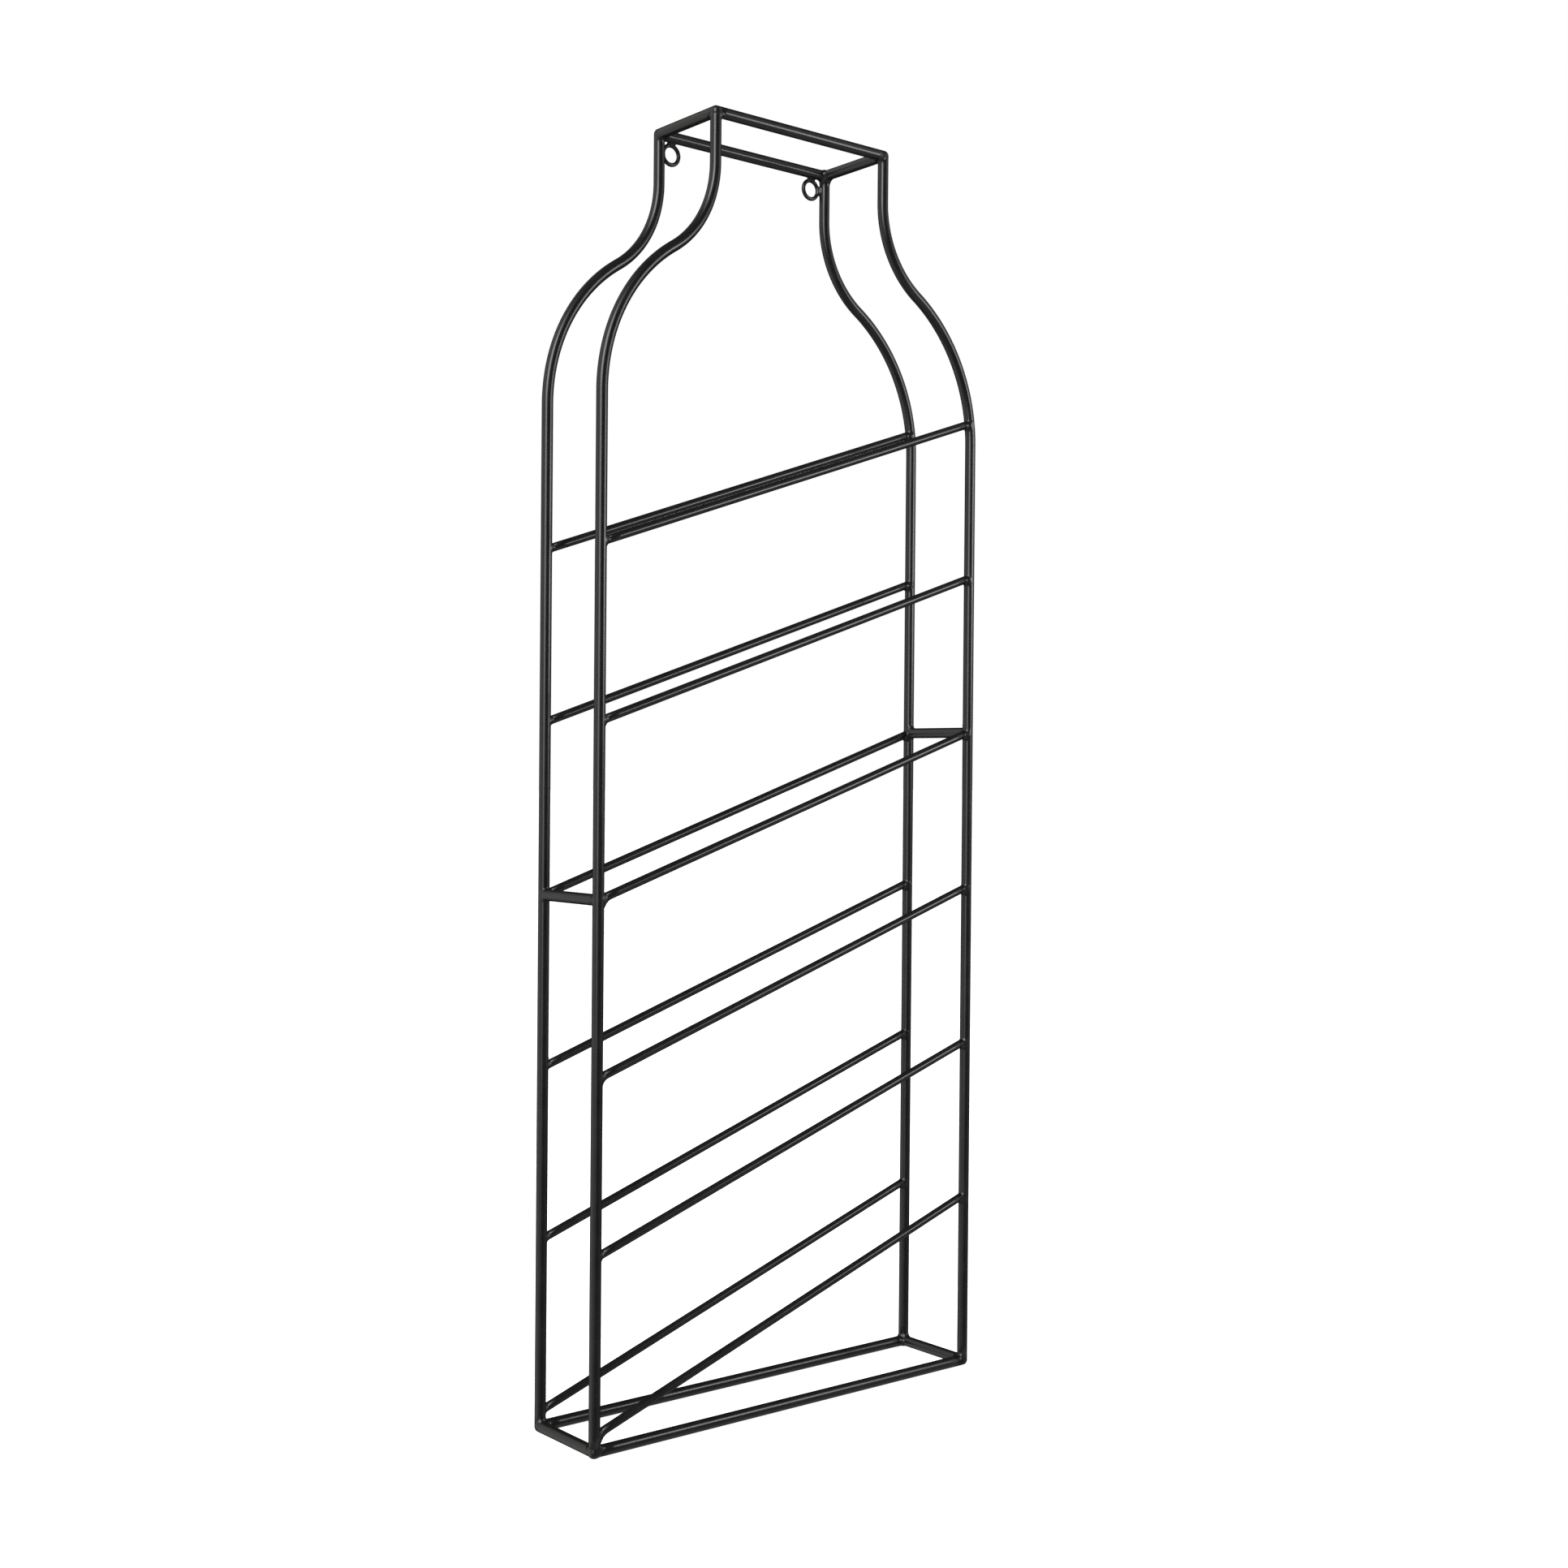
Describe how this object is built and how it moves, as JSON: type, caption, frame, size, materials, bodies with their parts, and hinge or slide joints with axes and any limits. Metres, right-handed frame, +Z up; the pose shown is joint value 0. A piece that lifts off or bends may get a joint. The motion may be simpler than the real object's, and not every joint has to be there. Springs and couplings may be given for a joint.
{
  "type": "wine rack",
  "caption": "Bottle-outline wall wine rack of welded black rod: front and back frames on spacers, slanted pairs of bars for lying bottles, and hanging rings at the back.",
  "frame": {"origin": "middle of the footprint, on the surface that the bottom rails stand on", "axes": "+X to the right seen from the front, +Y towards the wall behind, +Z up"},
  "size_m": [0.35, 0.075, 0.92],
  "materials": {
    "powder_coated_rod": "satin black powder coat on round steel rod, with faint orange peel",
    "powder_coated_weld": "satin black powder coat over rippled weld beads"
  },
  "bodies": {
    "root": {"front_left_side_rod": "powder_coated_rod", "front_right_side_rod": "powder_coated_rod", "back_left_side_rod": "powder_coated_rod", "back_right_side_rod": "powder_coated_rod", "front_bottom_rail": "powder_coated_rod", "front_top_rail": "powder_coated_rod", "back_bottom_rail": "powder_coated_rod", "back_top_rail": "powder_coated_rod", "front_shelf_bar_1": "powder_coated_rod", "front_shelf_bar_2": "powder_coated_rod", "front_shelf_bar_3": "powder_coated_rod", "front_shelf_bar_4": "powder_coated_rod", "front_shelf_bar_5": "powder_coated_rod", "front_shelf_bar_6": "powder_coated_rod", "back_shelf_bar_1": "powder_coated_rod", "back_shelf_bar_2": "powder_coated_rod", "back_shelf_bar_3": "powder_coated_rod", "back_shelf_bar_4": "powder_coated_rod", "back_shelf_bar_5": "powder_coated_rod", "back_shelf_bar_6": "powder_coated_rod", "bottom_left_spacer": "powder_coated_rod", "bottom_right_spacer": "powder_coated_rod", "middle_left_spacer": "powder_coated_rod", "middle_right_spacer": "powder_coated_rod", "top_left_spacer": "powder_coated_rod", "top_right_spacer": "powder_coated_rod", "left_hanging_eyelet": "powder_coated_rod", "right_hanging_eyelet": "powder_coated_rod", "front_left_bar_welds": "powder_coated_weld", "front_right_bar_welds": "powder_coated_weld", "back_left_bar_welds": "powder_coated_weld", "back_right_bar_welds": "powder_coated_weld", "middle_spacer_welds": "powder_coated_weld", "bottom_corner_welds": "powder_coated_weld", "top_corner_welds": "powder_coated_weld", "eyelet_welds": "powder_coated_weld"}
  },
  "joints": []
}
